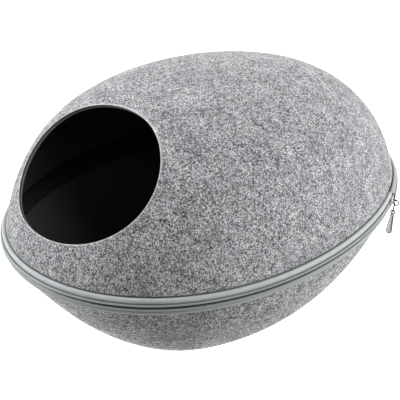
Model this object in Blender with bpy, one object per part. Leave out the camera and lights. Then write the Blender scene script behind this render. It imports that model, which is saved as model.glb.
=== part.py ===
"""A felt cat cave, zipped shut and standing on its flat base. Metres, +Z up.

Two moulded shells, a dome and a bowl, meet at a zip round the waist. The long axis runs along Y and
the round entry faces -Y. The origin is the middle of the outline, on the surface the cave stands on.

A turn is an angle round the outline in radians: 0 at the front (-Y), a quarter turn at +X. An inset
is a distance in from the waist's outline, and a depth is a distance in from a shell's outer face.
"""

import math

import bmesh
import bpy
import numpy as np
from mathutils import Matrix

# The waist's outline, which the two rows of the zip follow
HALF_LENGTH = 0.250
HALF_WIDTH = 0.186
REAR_TAPER = 0.067
END_FULLNESS = 0.041
WAIST_Z = 0.1204

# The cut edges of the two shells, above and below the waist
RIM_INSET = 0.0042
RIM_RISE = 0.0102

# The dome: a superellipse profile, blunter at the front than at the back
DOME_HEIGHT = 0.1427
DOME_CUT = 0.2356
DOME_HEIGHT_POWER = 2.0445
DOME_PLAN_POWER = 2.891
DOME_PLAN_CHANGE = -0.490
DOME_RINGS = 8

# The bowl: it rounds in to a flat base that lies toward the front
BOWL_DEPTH = WAIST_Z - RIM_RISE
BASE_SHARE = 0.4744
BASE_MIDDLE_Y = -0.0335
BOWL_POWER = 1.956
BOWL_POWER_CHANGE = 0.573
BOWL_RINGS = 6

# The wall: an outer layer of felt, and a dark lining layer behind it
FELT = 0.0020
LINING = 0.0026
GAP = 0.0003

# The entry, cut square to the dome
ENTRY_HALF_WIDTH = 0.0875
ENTRY_HEIGHT_SHARE = 0.89
ENTRY_Y = -0.1760
ENTRY_Z = WAIST_Z + 0.0949
ENTRY_TILT = math.radians(47.2)
ENTRY_FLARE = math.radians(14)
ENTRY_CUT_IN = 0.030
ENTRY_CUT_OUT = 0.040

# The zip's tape, 1 mm thick: a flange behind the felt, then a rolled band out to the coil.
# Each flange reaches as far along its shell as its level, and the lining starts just past it.
TAPE = 0.0010
DOME_FLANGE_LEVEL = 0.027
BOWL_FLANGE_LEVEL = 0.029
LINING_START = 0.003
TAPE_OUTER = (
    # inset, height above or below the waist's middle
    (0.0066, 0.0094),
    (0.0043, 0.0097),
    (0.0022, 0.0090),
    (0.0003, 0.0074),
    (-0.0008, 0.0053),
    (0.0009, 0.0050),
    (0.0009, 0.00065),
)
TAPE_INNER = (
    # inset, height above or below the waist's middle
    (0.0076, 0.0084),
    (0.0043, 0.0087),
    (0.0017, 0.0071),
    (0.0019, 0.00065),
)

# The coil: one ribbed row on each tape
COIL = (
    # inset, height above or below the waist's middle
    (0.0006, 0.0046),
    (-0.0006, 0.0046),
    (-0.0009, 0.0036),
    (-0.0008, 0.0022),
    (-0.0004, 0.0011),
    (0.0001, 0.00065),
    (0.0006, 0.00065),
)

# The plain band that joins the two halves at the back, from where the zip stops
BAND_OUTER = (
    # inset, height above or below the waist's middle
    (0.0066, 0.0094),
    (0.0043, 0.0097),
    (0.0020, 0.0090),
    (-0.0003, 0.0064),
    (-0.0011, 0.0020),
)
BAND_INNER = (
    # inset, height above or below the waist's middle
    (0.0076, 0.0084),
    (0.0043, 0.0087),
    (0.0014, 0.0071),
    (-0.0001, 0.0019),
)
ZIP_END = math.radians(127.3)
ZIP_MITRE = math.radians(2.6)
MITRE_REACH = 2 * ZIP_MITRE
END_GAP = math.radians(0.22)
COIL_END = math.radians(123.6)

# The slider, a plate on each face of the zip with a web and a crown, where the zip ends
SLIDER_TURN = math.radians(124.2)
SLIDER_LENGTH = 0.0140
FACE_PLATE = (0.0012, 0.0020)
FACE_HALF_HEIGHT = 0.0045
BACK_PLATE = (-0.0036, -0.0028)
BACK_HALF_HEIGHT = 0.0038
WEB_HALF_HEIGHT = 0.0003
CROWN_LENGTH = 0.0094
CROWN_LEG = 0.0014
CROWN_UNDERSIDE = 0.0052
CROWN_TOP = 0.0062
CROWN_HALF_HEIGHT = 0.0006

# The pull: a ring through the slider's crown, a link, and a tab with an eyelet
RING_RADIUS = 0.0036
RING_WIRE = 0.0005
RING_OUT = 0.0063
RING_DROP = 0.0020
RING_HOLD = math.radians(30)
LINK_WIRE = 0.0004
LINK_HALF_WIDTH = 0.0015
EYELET_RADIUS = 0.0023
EYELET_WIRE = 0.0007
EYELET_DROP = 0.0088
TAB_LENGTH = 0.0248
TAB_TOP_HALF = 0.0022
TAB_END_HALF = 0.0034
TAB_THICKNESS = 0.0012
TAB_END_STEPS = 8
PULL_LEAN = math.radians(3.3)

SEGMENTS = 46
WIRE_SEGMENTS = 20
WIRE_SIDES = 8
FULL_TURN = 2 * math.pi
FACET = FULL_TURN / SEGMENTS
SLOPE_STEP = 1e-4
SHARP_ANGLE = math.radians(40)


def waist(turn, inset):
    """Returns the plan point that lies an inset in from the waist's outline."""
    share = -math.cos(turn)
    swell = 1 - REAR_TAPER * share + END_FULLNESS * (share**2 - 0.5)
    swell_change = (2 * END_FULLNESS * share - REAR_TAPER) * math.sin(turn)
    along_x = HALF_WIDTH * (math.cos(turn) * swell + math.sin(turn) * swell_change)
    along_y = HALF_LENGTH * math.sin(turn)
    step = inset / math.hypot(along_x, along_y)
    x = HALF_WIDTH * math.sin(turn) * swell - step * along_y
    y = HALF_LENGTH * share + step * along_x
    return x, y


def dome(turn, level):
    """Returns the dome's outer face, from its cut edge at level 0 to its top at level 1."""
    x, y = waist(turn, RIM_INSET)
    plan_power = DOME_PLAN_POWER + DOME_PLAN_CHANGE * y / HALF_LENGTH
    edge = 1 - DOME_CUT**DOME_HEIGHT_POWER
    sine = math.sin((1 - level) * math.asin(math.sqrt(edge)))
    share = (sine**2 / edge) ** (1 / plan_power)
    height = (1 - sine**2) ** (1 / DOME_HEIGHT_POWER)
    rise = DOME_HEIGHT * (height - DOME_CUT) / (1 - DOME_CUT)
    return np.array((x * share, y * share, WAIST_Z + RIM_RISE + rise))


def bowl(turn, level):
    """Returns the bowl's outer face, from its cut edge at level 0 to the base's edge at level 1."""
    x, y = waist(turn, RIM_INSET)
    power = BOWL_POWER + BOWL_POWER_CHANGE * y / HALF_LENGTH
    share = 1 - (1 - BASE_SHARE) * level
    height = BOWL_DEPTH * (1 - level) ** power
    return np.array((x * share, BASE_MIDDLE_Y + (y - BASE_MIDDLE_Y) * share, height))


def behind(face, turn, level, depth):
    """Returns the point at a depth behind a shell's face, square to it, or level at its cut edge."""
    point = face(turn, level)
    round_it = face(turn + SLOPE_STEP, level) - face(turn - SLOPE_STEP, level)
    up_it = face(turn, min(level + SLOPE_STEP, 1)) - face(turn, max(level - SLOPE_STEP, 0))
    inward = np.cross(round_it, up_it)
    if np.dot(inward, (point[0], point[1], 0)) > 0:
        inward = -inward
    inward /= np.linalg.norm(inward)
    if level == 0:
        inward[2] = 0
        inward /= np.dot(inward, inward)
    return point + depth * inward


def skin(loops):
    """Returns a closed mesh over loops of points. An end loop is a single point, or it is capped."""
    bm = bmesh.new()
    rows = [[bm.verts.new(point) for point in loop] for loop in loops]
    for row, following in zip(rows, rows[1:]):
        count = max(len(row), len(following))
        for i in range(count):
            j = (i + 1) % count
            corners = (
                row[i % len(row)],
                row[j % len(row)],
                following[j % len(following)],
                following[i % len(following)],
            )
            bm.faces.new(list(dict.fromkeys(corners)))
    for row in (rows[0], rows[-1]):
        if len(row) > 1:
            bm.faces.new(row)
    bmesh.ops.recalc_face_normals(bm, faces=bm.faces)
    return bm


def material(name, colour, roughness, metallic=0.0):
    """Returns a plain Principled material."""
    made = bpy.data.materials.new(name)
    made.use_nodes = True
    shader = made.node_tree.nodes["Principled BSDF"]
    shader.inputs["Base Color"].default_value = (*colour, 1)
    shader.inputs["Roughness"].default_value = roughness
    shader.inputs["Metallic"].default_value = metallic
    return made


def add(name, bm, finish, place=None):
    """Adds a named object with this mesh and material, at a place given as a matrix."""
    mesh = bpy.data.meshes.new(name)
    bm.to_mesh(mesh)
    bm.free()
    mesh.shade_smooth()
    mesh.set_sharp_from_angle(angle=SHARP_ANGLE)
    mesh.materials.append(finish)
    made = bpy.data.objects.new(name, mesh)
    bpy.context.scene.collection.objects.link(made)
    if place is not None:
        made.matrix_world = place
    return made


def combine(made, helper, operation):
    """Joins a helper to an object, or cuts it away, and leaves the helper out of the model."""
    helper.hide_render = True
    helper.display_type = "WIRE"
    modifier = made.modifiers.new(operation.title(), "BOOLEAN")
    modifier.operation = operation
    modifier.solver = "EXACT"
    modifier.object = helper


def shell_loop(face, level, depth):
    """Returns the closed loop of points round a shell at one level and depth."""
    return [behind(face, i * FACET, level, depth) for i in range(SEGMENTS)]


def levels_above(flange_level, rings):
    """Returns a shell's levels, evenly spaced from just past the tape's flange to its far end."""
    start = flange_level + LINING_START
    return [start + (1 - start) * i / rings for i in range(rings + 1)]


def dome_layer(name, outer, inner, levels, finish):
    """Adds one layer of the dome, between two depths, with a loop of points at each level."""
    top = dome(0, 1)
    loops = [[top - (0, 0, outer)]]
    loops += [shell_loop(dome, level, outer) for level in reversed(levels[:-1])]
    loops += [shell_loop(dome, level, inner) for level in levels[:-1]]
    loops += [[top - (0, 0, inner)]]
    return add(name, skin(loops), finish)


def bowl_layer(name, outer, inner, levels, finish):
    """Adds one layer of the bowl, between two depths, with a flat base at its last level."""
    loops = [shell_loop(bowl, level, outer) for level in reversed(levels)]
    loops += [shell_loop(bowl, level, inner) for level in levels]
    for base_loop, depth in ((loops[0], outer), (loops[-1], inner)):
        for point in base_loop:
            point[2] = depth
    return add(name, skin(loops), finish)


def cut_entry(layers):
    """Cuts the oval entry through the dome's layers, a little wider toward the outside."""
    axis = np.array((0, -math.cos(ENTRY_TILT), math.sin(ENTRY_TILT)))
    across = np.array((1, 0, 0))
    up = np.cross(axis, across)
    middle = np.array((0, ENTRY_Y, ENTRY_Z))
    loops = []
    for along in (-ENTRY_CUT_IN, ENTRY_CUT_OUT):
        spread = along * math.tan(ENTRY_FLARE)
        half_width = ENTRY_HALF_WIDTH + spread
        half_height = ENTRY_HALF_WIDTH * ENTRY_HEIGHT_SHARE + spread
        loop = []
        for i in range(SEGMENTS):
            out = half_width * math.cos(i * FACET) * across
            rise = half_height * math.sin(i * FACET) * up
            loop.append(middle + along * axis + out + rise)
        loops.append(loop)
    cutter = add("entry_cutter", skin(loops), material("Cutter", (0.8, 0.1, 0.1), 0.5))
    for layer in layers:
        combine(layer, cutter, "DIFFERENCE")


def on_facet(place, turn):
    """Returns a place at any turn, on the flat facet between the shells' own turns."""
    first = math.floor(turn / FACET)
    share = turn / FACET - first
    return (1 - share) * place(first * FACET) + share * place((first + 1) * FACET)


def strip_point(turn, mitre, inset, height):
    """Returns a point of a strip's section, moved round the waist by its share of a mitre."""
    turn += mitre * abs(height) / RIM_RISE
    return on_facet(lambda at: np.array((*waist(at, inset), WAIST_Z + height)), turn)


def flange(side, turn, mitre, depth):
    """Returns the flange's top and bottom points behind the dome (side 1) or the bowl (side -1)."""
    face, top = (dome, DOME_FLANGE_LEVEL) if side > 0 else (bowl, BOWL_FLANGE_LEVEL)
    points = []
    for level in (top, 0):
        height = abs(face(turn, level)[2] - WAIST_Z)
        at = turn + mitre * height / RIM_RISE
        points.append(on_facet(lambda corner, level=level: behind(face, corner, level, depth), at))
    return points


def half_section(side, turn, mitre, outer, inner):
    """Returns the outer and the inner face of a strip's section, from its flange to the middle."""
    faces = []
    for table, depth in ((outer, FELT + GAP), (inner, FELT + GAP + TAPE)):
        line = flange(side, turn, mitre, depth)
        line += [strip_point(turn, mitre, inset, side * height) for inset, height in table]
        faces.append(line)
    return faces


def tape_section(side, turn, mitre):
    """Returns the closed section of the tape on one side of the zip."""
    outer, inner = half_section(side, turn, mitre, TAPE_OUTER, TAPE_INNER)
    return outer + inner[::-1]


def coil_section(side, turn, _mitre):
    """Returns the closed section of the coil on one side of the zip."""
    return [strip_point(turn, 0, inset, side * height) for inset, height in COIL]


def band_section(_side, turn, mitre):
    """Returns the closed section of the band, which spans both sides."""
    top_outer, top_inner = half_section(1, turn, mitre, BAND_OUTER, BAND_INNER)
    low_outer, low_inner = half_section(-1, turn, mitre, BAND_OUTER, BAND_INNER)
    return top_outer + low_outer[::-1] + low_inner + top_inner[::-1]


def strip(name, section, side, start, end, mitre, finish):
    """Adds a strip that carries a section round part of the waist, on the shells' own facets.

    A mitre moves the far points of the two end sections round the waist, away from its middle.
    """
    first = math.ceil((start + MITRE_REACH) / FACET)
    last = math.floor((end - MITRE_REACH) / FACET)
    loops = [section(side, start, -mitre)]
    loops += [section(side, i * FACET, 0) for i in range(first, last + 1)]
    loops += [section(side, end, mitre)]
    return add(name, skin(loops), finish)


def slider_place():
    """Returns the slider's place: its X along the waist to the front, Y out from it, and Z up."""
    middle = waist(SLIDER_TURN, 0)
    out = np.subtract(middle, waist(SLIDER_TURN, TAPE))
    turned = Matrix.Rotation(math.atan2(-out[0], out[1]), 4, "Z")
    return Matrix.Translation((*middle, WAIST_Z)) @ turned


def prism(outline, axis, half):
    """Returns an outline of (first, second) points, drawn out both ways along a local axis."""
    loops = []
    for along in (-half, half):
        loops.append([np.insert(np.array(point, float), axis, along) for point in outline])
    return skin(loops)


def mirrored(outline):
    """Returns a closed outline from its half above the first axis."""
    return list(outline) + [(first, -second) for first, second in reversed(outline)]


def slider_body(place, finish):
    """Adds the slider: two plates joined by a web, and an open crown on the outer plate."""
    plates = mirrored((
        (FACE_PLATE[1], FACE_HALF_HEIGHT),
        (FACE_PLATE[0], FACE_HALF_HEIGHT),
        (FACE_PLATE[0], WEB_HALF_HEIGHT),
        (BACK_PLATE[1], WEB_HALF_HEIGHT),
        (BACK_PLATE[1], BACK_HALF_HEIGHT),
        (BACK_PLATE[0], BACK_HALF_HEIGHT),
    ))
    body = add("slider_body", prism(plates, 0, SLIDER_LENGTH / 2), finish, place)
    outside = CROWN_LENGTH / 2
    opening = outside - CROWN_LEG
    seat = sum(FACE_PLATE) / 2
    arch = (
        (-outside, seat),
        (-outside, CROWN_TOP),
        (outside, CROWN_TOP),
        (outside, seat),
        (opening, seat),
        (opening, CROWN_UNDERSIDE),
        (-opening, CROWN_UNDERSIDE),
        (-opening, seat),
    )
    crown = add("slider_crown", prism(arch, 2, CROWN_HALF_HEIGHT), finish, place)
    combine(body, crown, "UNION")
    return body


def wire_ring(half_width, straight, wire, upright):
    """Returns a closed wire loop round the origin: a ring, or an oval with straight sides.

    The loop lies in the local YZ plane if it is upright, and in the XZ plane otherwise.
    """
    loops = []
    for i in range(WIRE_SEGMENTS):
        angle = FULL_TURN * (i + 0.5) / WIRE_SEGMENTS
        offset = math.copysign(straight / 2, math.sin(angle))
        loop = []
        for j in range(WIRE_SIDES):
            side = FULL_TURN * (j + 0.5) / WIRE_SIDES
            reach = half_width + wire * math.cos(side)
            flat = reach * math.cos(angle)
            height = reach * math.sin(angle) + offset
            thick = wire * math.sin(side)
            loop.append((thick, flat, height) if upright else (flat, thick, height))
        loops.append(loop)
    bm = bmesh.new()
    rows = [[bm.verts.new(point) for point in loop] for loop in loops]
    for row, following in zip(rows, rows[1:] + rows[:1]):
        for i in range(WIRE_SIDES):
            j = (i + 1) % WIRE_SIDES
            bm.faces.new((row[i], row[j], following[j], following[i]))
    bmesh.ops.recalc_face_normals(bm, faces=bm.faces)
    return bm


def pull(place, finish):
    """Adds the ring through the crown, the link that hangs on it, and the tab with its eyelet."""
    ring_place = place @ Matrix.Translation((0, RING_OUT, -RING_DROP))
    add("pull_ring", wire_ring(RING_RADIUS, 0, RING_WIRE, True), finish, ring_place)

    hold = (0, -RING_RADIUS * math.sin(RING_HOLD), -RING_RADIUS * math.cos(RING_HOLD))
    hang = ring_place @ Matrix.Translation(hold) @ Matrix.Rotation(-PULL_LEAN, 4, "X")
    link_top = RING_WIRE + GAP + LINK_WIRE
    link_end = EYELET_DROP - EYELET_RADIUS + EYELET_WIRE + GAP + LINK_WIRE
    straight = link_top + link_end - 2 * LINK_HALF_WIDTH
    link_place = hang @ Matrix.Translation((0, 0, (link_top - link_end) / 2))
    add("pull_link", wire_ring(LINK_HALF_WIDTH, straight, LINK_WIRE, False), finish, link_place)

    tab_place = hang @ Matrix.Translation((0, 0, -EYELET_DROP))
    tab_top = -EYELET_RADIUS
    tab_end = tab_top - TAB_LENGTH
    shoulder = tab_end + TAB_END_HALF
    outline = [(-TAB_TOP_HALF, tab_top), (TAB_TOP_HALF, tab_top), (TAB_END_HALF, shoulder)]
    for i in range(1, TAB_END_STEPS):
        angle = math.pi * i / TAB_END_STEPS
        outline.append((TAB_END_HALF * math.cos(angle), shoulder - TAB_END_HALF * math.sin(angle)))
    outline.append((-TAB_END_HALF, shoulder))
    tab = add("pull_tab", prism(outline, 0, TAB_THICKNESS / 2), finish, tab_place)
    eyelet = add("tab_eyelet", wire_ring(EYELET_RADIUS, 0, EYELET_WIRE, True), finish, tab_place)
    combine(tab, eyelet, "UNION")


def main():
    for old in list(bpy.data.objects):
        bpy.data.objects.remove(old)

    felt = material("Heathered grey felt", (0.33, 0.33, 0.34), 0.95)
    lining = material("Black lining", (0.012, 0.012, 0.013), 0.9)
    tape = material("Grey-green tape", (0.40, 0.44, 0.44), 0.75)
    coil = material("Grey-green coil", (0.36, 0.40, 0.40), 0.5)
    metal = material("Nickel", (0.62, 0.60, 0.57), 0.25, 1.0)

    lining_face = FELT + GAP
    lining_back = lining_face + LINING
    levels = levels_above(DOME_FLANGE_LEVEL, DOME_RINGS)
    cut_entry((
        dome_layer("upper_felt", 0, FELT, [0] + levels, felt),
        dome_layer("upper_lining", lining_face, lining_back, levels, lining),
    ))
    levels = levels_above(BOWL_FLANGE_LEVEL, BOWL_RINGS)
    bowl_layer("lower_felt", 0, FELT, [0] + levels, felt)
    bowl_layer("lower_lining", lining_face, lining_back, levels, lining)

    tape_end = ZIP_END - END_GAP
    for side, half in ((1, "upper"), (-1, "lower")):
        strip(f"zip_tape_{half}", tape_section, side, -tape_end, tape_end, -ZIP_MITRE, tape)
        strip(f"zip_coil_{half}", coil_section, side, -COIL_END, COIL_END, 0, coil)
    strip("hinge_band", band_section, 0, ZIP_END, FULL_TURN - ZIP_END, ZIP_MITRE, tape)

    place = slider_place()
    slider_body(place, metal)
    pull(place, metal)


if __name__ == "__main__":
    main()
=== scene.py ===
"""Dresses the felt cat cave that the frame holds: its moulded felt shells, dark lining, zip and pull.

Metres, +Z up, with the entry toward -Y. A turn is an angle round the waist in radians: 0 at the
front, a quarter turn at +X. An inset is a distance in from the waist's outline, a depth a distance
in from a shell's outer face, and a share a place on a line that runs from 0 at one end to 1 at the
other.
"""

import logging
import math
from abc import ABC, abstractmethod
from collections.abc import Callable
from dataclasses import dataclass
from enum import Enum

import bmesh
import bpy
import numpy as np
from mathutils import Matrix, Vector, noise


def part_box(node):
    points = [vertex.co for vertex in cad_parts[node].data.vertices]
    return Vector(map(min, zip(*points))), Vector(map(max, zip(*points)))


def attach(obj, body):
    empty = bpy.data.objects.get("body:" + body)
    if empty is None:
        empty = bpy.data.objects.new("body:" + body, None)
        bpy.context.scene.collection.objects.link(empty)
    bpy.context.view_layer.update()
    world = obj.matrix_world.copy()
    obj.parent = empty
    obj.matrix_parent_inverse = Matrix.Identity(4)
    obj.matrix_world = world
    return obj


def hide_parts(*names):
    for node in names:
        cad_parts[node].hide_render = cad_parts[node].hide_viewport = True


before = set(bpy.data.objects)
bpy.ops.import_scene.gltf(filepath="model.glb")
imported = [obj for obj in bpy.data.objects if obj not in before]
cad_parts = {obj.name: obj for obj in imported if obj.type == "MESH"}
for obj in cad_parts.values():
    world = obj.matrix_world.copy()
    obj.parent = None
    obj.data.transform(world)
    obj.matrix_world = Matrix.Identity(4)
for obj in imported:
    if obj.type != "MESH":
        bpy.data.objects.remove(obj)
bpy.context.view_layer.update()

MM = 0.001
DEG = math.pi / 180
FULL_TURN = 2 * math.pi
BODY = "root"
GAP = 0.3 * MM  # between two pieces
TAPE = 1.0 * MM  # the zip's cloth is this thick
COLUMNS = 320  # of points round each shell
SHARP = 40 * DEG  # an edge that bends more is drawn sharp
Point = tuple[float, float, float]
Table = tuple[tuple[float, float], ...]
Numbers = float | np.ndarray

log = logging.getLogger("cat_cave")


# ---------------------------------------------------------------- shader maths


class Value:
    """A socket that carries a number, wrapped so that shader maths reads as Python expressions."""

    def __init__(self, graph: "Graph", socket: bpy.types.NodeSocket) -> None:
        """Keeps the socket and the graph that its maths goes into."""
        self.graph = graph
        self.socket = socket

    def __add__(self, other: "Value | float") -> "Value":
        """Returns the sum."""
        return self.graph.maths("ADD", self, other)

    def __sub__(self, other: "Value | float") -> "Value":
        """Returns the difference."""
        return self.graph.maths("SUBTRACT", self, other)

    def __rsub__(self, other: float) -> "Value":
        """Returns the difference from a plain number."""
        return self.graph.maths("SUBTRACT", other, self)

    def __mul__(self, other: "Value | float") -> "Value":
        """Returns the product."""
        return self.graph.maths("MULTIPLY", self, other)

    __radd__ = __add__

    def sine(self) -> "Value":
        """Returns the sine."""
        return self.graph.maths("SINE", self)

    def size(self) -> "Value":
        """Returns the value without its sign."""
        return self.graph.maths("ABSOLUTE", self)

    def power(self, exponent: float) -> "Value":
        """Returns the value raised to a power."""
        return self.graph.maths("POWER", self, exponent)

    def between(self, low: float, high: float) -> "Value":
        """Returns a smooth step from 0 at a low value to 1 at a high one.

        Args:
            low: Where the step starts.
            high: Where it ends.

        Returns:
            The step.
        """
        made = self.graph.node(
            "MapRange",
            {"interpolation_type": "SMOOTHSTEP"},
            {"Value": self, "From Min": low, "From Max": high},
        )
        return Value(self.graph, made.outputs["Result"])


class Graph:
    """The node tree of one material, with the one way that nodes are put into it."""

    def __init__(self, name: str) -> None:
        """Makes an empty material of this name."""
        self.material = bpy.data.materials.new(name)
        self.material.use_nodes = True
        self.tree = self.material.node_tree
        self.tree.nodes.clear()

    def node(
        self,
        kind: str,
        settings: dict[str, object] | None = None,
        inputs: dict[str | int, object] | None = None,
    ) -> bpy.types.Node:
        """Adds a node.

        Args:
            kind: The node's type, without its ShaderNode.
            settings: Its properties, which are set first.
            inputs: A value or a link for each input, by its name or number.

        Returns:
            The node.
        """
        made = self.tree.nodes.new(f"ShaderNode{kind}")
        for name, setting in (settings or {}).items():
            setattr(made, name, setting)
        for name, given in (inputs or {}).items():
            if isinstance(given, Value):
                given = given.socket
            if isinstance(given, bpy.types.NodeSocket):
                self.tree.links.new(given, made.inputs[name])
            else:
                made.inputs[name].default_value = given
        return made

    def maths(self, operation: str, *terms: "Value | float") -> Value:
        """Returns one operation on numbers."""
        made = self.node("Math", {"operation": operation}, dict(enumerate(terms)))
        return Value(self, made.outputs[0])

    def moved(self, place: bpy.types.NodeSocket, shift: Point) -> bpy.types.NodeSocket:
        """Returns a place moved by a shift."""
        return self.node("VectorMath", {"operation": "ADD"}, {0: place, 1: shift}).outputs[0]

    def place(self) -> bpy.types.NodeSocket:
        """Returns the point that is being shaded, on the object's own coordinates."""
        return self.node("TexCoord").outputs["Object"]

    def attribute(self, name: str) -> Value:
        """Returns a number that the mesh carries."""
        return Value(self, self.node("Attribute", {"attribute_name": name}).outputs["Fac"])

    def grain(
        self, place: bpy.types.NodeSocket, size: float, octaves: float, roughness: float = 0.5
    ) -> Value:
        """Returns noise, which is about 0.5 on average.

        Args:
            place: Where it is read.
            size: The size of its largest features.
            octaves: How many times it is halved and added again.
            roughness: How much of its strength each finer octave keeps.

        Returns:
            Its value.
        """
        inputs = {"Vector": place, "Scale": 1 / size, "Detail": octaves, "Roughness": roughness}
        return Value(self, self.node("TexNoise", inputs=inputs).outputs[0])

    def blend(
        self, factor: Value, first: Point | bpy.types.NodeSocket, second: Point
    ) -> bpy.types.NodeSocket:
        """Returns a mix of two colours, from the first at 0 to the second at 1."""
        start = (*first, 1) if isinstance(first, tuple) else first
        return self.node("Mix", {"data_type": "RGBA"}, {0: factor, 6: start, 7: (*second, 1)}).outputs[2]

    def finish(
        self, inputs: dict[str, object], height: Value | None = None, relief: float = 0.0
    ) -> bpy.types.Material:
        """Ends the graph in a Principled shader.

        Args:
            inputs: A value or a link for each of the shader's sockets.
            height: The surface's relief, from 0 to 1.
            relief: How far it stands out, in metres.

        Returns:
            The material.
        """
        shader = self.node("BsdfPrincipled", inputs=inputs)
        if height is not None:
            bump = self.node("Bump", inputs={"Strength": 1.0, "Distance": relief, "Height": height})
            self.tree.links.new(bump.outputs["Normal"], shader.inputs["Normal"])
        self.node("OutputMaterial", inputs={"Surface": shader.outputs[0]})
        return self.material


# --------------------------------------------------------------------- finishes


@dataclass(frozen=True)
class HeatheredFelt:
    """Grey needle felt, a tangle of light and dark fibres.

    Attributes:
        name: The finish's name.
        dark: The colour of its darkest fibres.
        light: The colour of its lightest fibres.
        cut: The colour of its cut edge round the entry.
        crease: Painted shade where it turns in to the zip, at its cut edge along the waist.
        contrast: How strong its mottling is.
        patch: The size of the slow changes in its grey.
        clump: The size of the tufts that the fibres gather in.
        speck: The size of the finest light and dark specks.
        curl: The size of the curls that single fibres lie in.
        hair: How thick a single fibre is drawn, as a change in the noise that curls it.
        level: The middle of its tone.
        patch_weight: How much of its tone the slow changes are.
        clump_weight: How much of it the tufts are.
        speck_weight: How much of it the specks are.
        speck_swing: How much more the specks show where the slow changes are light.
        light_hair: How much a single light fibre adds to it.
        dark_hair: How much a single dark fibre takes from it.
        curve: The power that turns its tone into a colour's brightness.
    """

    name: str = "Heathered felt"
    dark: Point = (0.020, 0.020, 0.025)
    light: Point = (0.75, 0.757, 0.775)
    cut: Point = (0.105, 0.106, 0.114)
    crease: Point = (0.080, 0.080, 0.087)
    contrast: float = 0.76
    patch: float = 24 * MM
    clump: float = 6 * MM
    speck: float = 1.5 * MM
    curl: float = 5 * MM
    hair: float = 0.045
    level: float = 0.595
    patch_weight: float = 0.28
    clump_weight: float = 1.05
    speck_weight: float = 2.0
    speck_swing: float = 1.6
    light_hair: float = 0.24
    dark_hair: float = 0.40
    curve: float = 2.2

    def _fibres(self, graph: Graph, shift: float) -> Value:
        """Returns 1 along curled single fibres and 0 between them."""
        moved = graph.moved(graph.place(), (shift, 2 * shift, -shift))
        curls = graph.grain(moved, self.curl, 1, 0.6)
        return 1 - (curls - 0.5).size().between(0.0, self.hair)

    def material(self) -> bpy.types.Material:
        """Returns the felt, with a painted highlight along the entry's rim, its darker cut edge there and
        painted shade in its crease at the waist, as the mesh says.
        """
        graph = Graph(self.name)
        place = graph.place()
        patches = graph.grain(place, self.patch, 1) - 0.5
        clumps = graph.grain(place, self.clump, 3, 0.85) - 0.5
        specks = graph.grain(place, self.speck, 1, 1.0) - 0.5
        tone = patches * self.patch_weight + clumps * self.clump_weight
        tone = tone + specks * (patches * self.speck_swing + self.speck_weight)
        tone = tone + self._fibres(graph, 0.3) * self.light_hair
        tone = tone - self._fibres(graph, 0.7) * self.dark_hair
        tone = (tone * self.contrast + self.level).between(-0.25, 1.25)

        colour = graph.blend(tone.power(self.curve), self.dark, self.light)
        # Painted highlight along the entry's rim.
        colour = graph.blend(graph.attribute("lip") * 0.5, colour, self.light)
        rough = specks * 1.2 + clumps * 0.8
        # Darker at the cut edge round the entry, and painted shade along the crease at the waist, both with
        # ragged edges.
        for name, dark in (("cut", self.cut), ("crease", self.crease)):
            ragged = (graph.attribute(name) + rough).between(0.30, 0.70)
            colour = graph.blend(ragged, colour, dark)
        inputs = {"Roughness": 0.95, "Specular IOR Level": 0.2, "Sheen Weight": 0.06, "Sheen Roughness": 0.6}
        return graph.finish({**inputs, "Base Color": colour}, tone, 0.3 * MM)


@dataclass(frozen=True)
class DarkLining:
    """The black layer inside, with the grey of its core where it is cut.

    Attributes:
        colour: The lining's face.
        tuft: The tips of its nap.
        edge: Painted shade along its edge at the waist.
        entry_light: Painted light on its face near the entry.
        core: Its cut edge at the entry.
    """

    colour: Point = (0.042, 0.043, 0.045)
    tuft: Point = (0.056, 0.057, 0.060)
    edge: Point = (0.008, 0.008, 0.009)
    entry_light: Point = (0.095, 0.102, 0.110)
    core: Point = (0.21, 0.21, 0.222)

    def material(self) -> bpy.types.Material:
        """Returns the lining."""
        graph = Graph("Black lining")
        nap = graph.grain(graph.place(), 2.5 * MM, 3, 0.7)
        face = graph.blend(nap.between(0.3, 0.7), self.colour, self.tuft)
        # Painted light on the lining near the entry, broken up by its nap.
        face = graph.blend(graph.attribute("near") * (nap + 0.4), face, self.entry_light)
        # Painted shade along the lining's edge at the waist.
        face = graph.blend(graph.attribute("crease"), face, self.edge)
        cut = graph.attribute("cut")
        inputs = {"Specular IOR Level": 0.3, "Roughness": 0.8 + cut * 0.15}
        return graph.finish({**inputs, "Base Color": graph.blend(cut, face, self.core)}, nap, 0.3 * MM)


@dataclass(frozen=True)
class WovenTape:
    """Smooth grey-green zip tape with fine ribs across it.

    Attributes:
        name: The finish's name.
        back: Painted shade on its face inside the cave, on its flange behind the felt, and in the crease and
            the groove on either side of its outer face.
        light: The tops of its ribs.
        dark: The hollows between them.
        rib: The distance from rib to rib.
        thread: The distance from thread to thread across them.
    """

    name: str = "Grey-green tape"
    back: Point = (0.014, 0.0145, 0.015)
    light: Point = (0.405, 0.43, 0.435)
    dark: Point = (0.325, 0.347, 0.352)
    rib: float = 1.1 * MM
    thread: float = 0.9 * MM

    def material(self) -> bpy.types.Material:
        """Returns the tape, whose mesh carries its distances along and across and how much painted shade it
        gets.
        """
        graph = Graph(self.name)
        lines = (("along", self.rib), ("across", self.thread))
        ribs, threads = [
            (graph.attribute(name) * (FULL_TURN / step)).sine() * 0.5 + 0.5 for name, step in lines
        ]
        weave = ribs * 0.6 + threads * 0.4
        wear = graph.grain(graph.place(), 16 * MM, 3, 0.6)
        tone = (weave * 0.55 + wear.between(0.25, 0.75) * 0.45).between(0.0, 1.0)
        colour = graph.blend(tone, self.dark, self.light)
        # Painted shade where the mesh says: inside the cave, behind the felt, in the crease and in the
        # groove.
        colour = graph.blend(graph.attribute("dark").between(0.2, 0.8), colour, self.back)
        inputs = {"Roughness": 0.62, "Specular IOR Level": 0.35, "Sheen Weight": 0.1}
        return graph.finish({**inputs, "Base Color": colour}, weave, 0.05 * MM)


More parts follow.
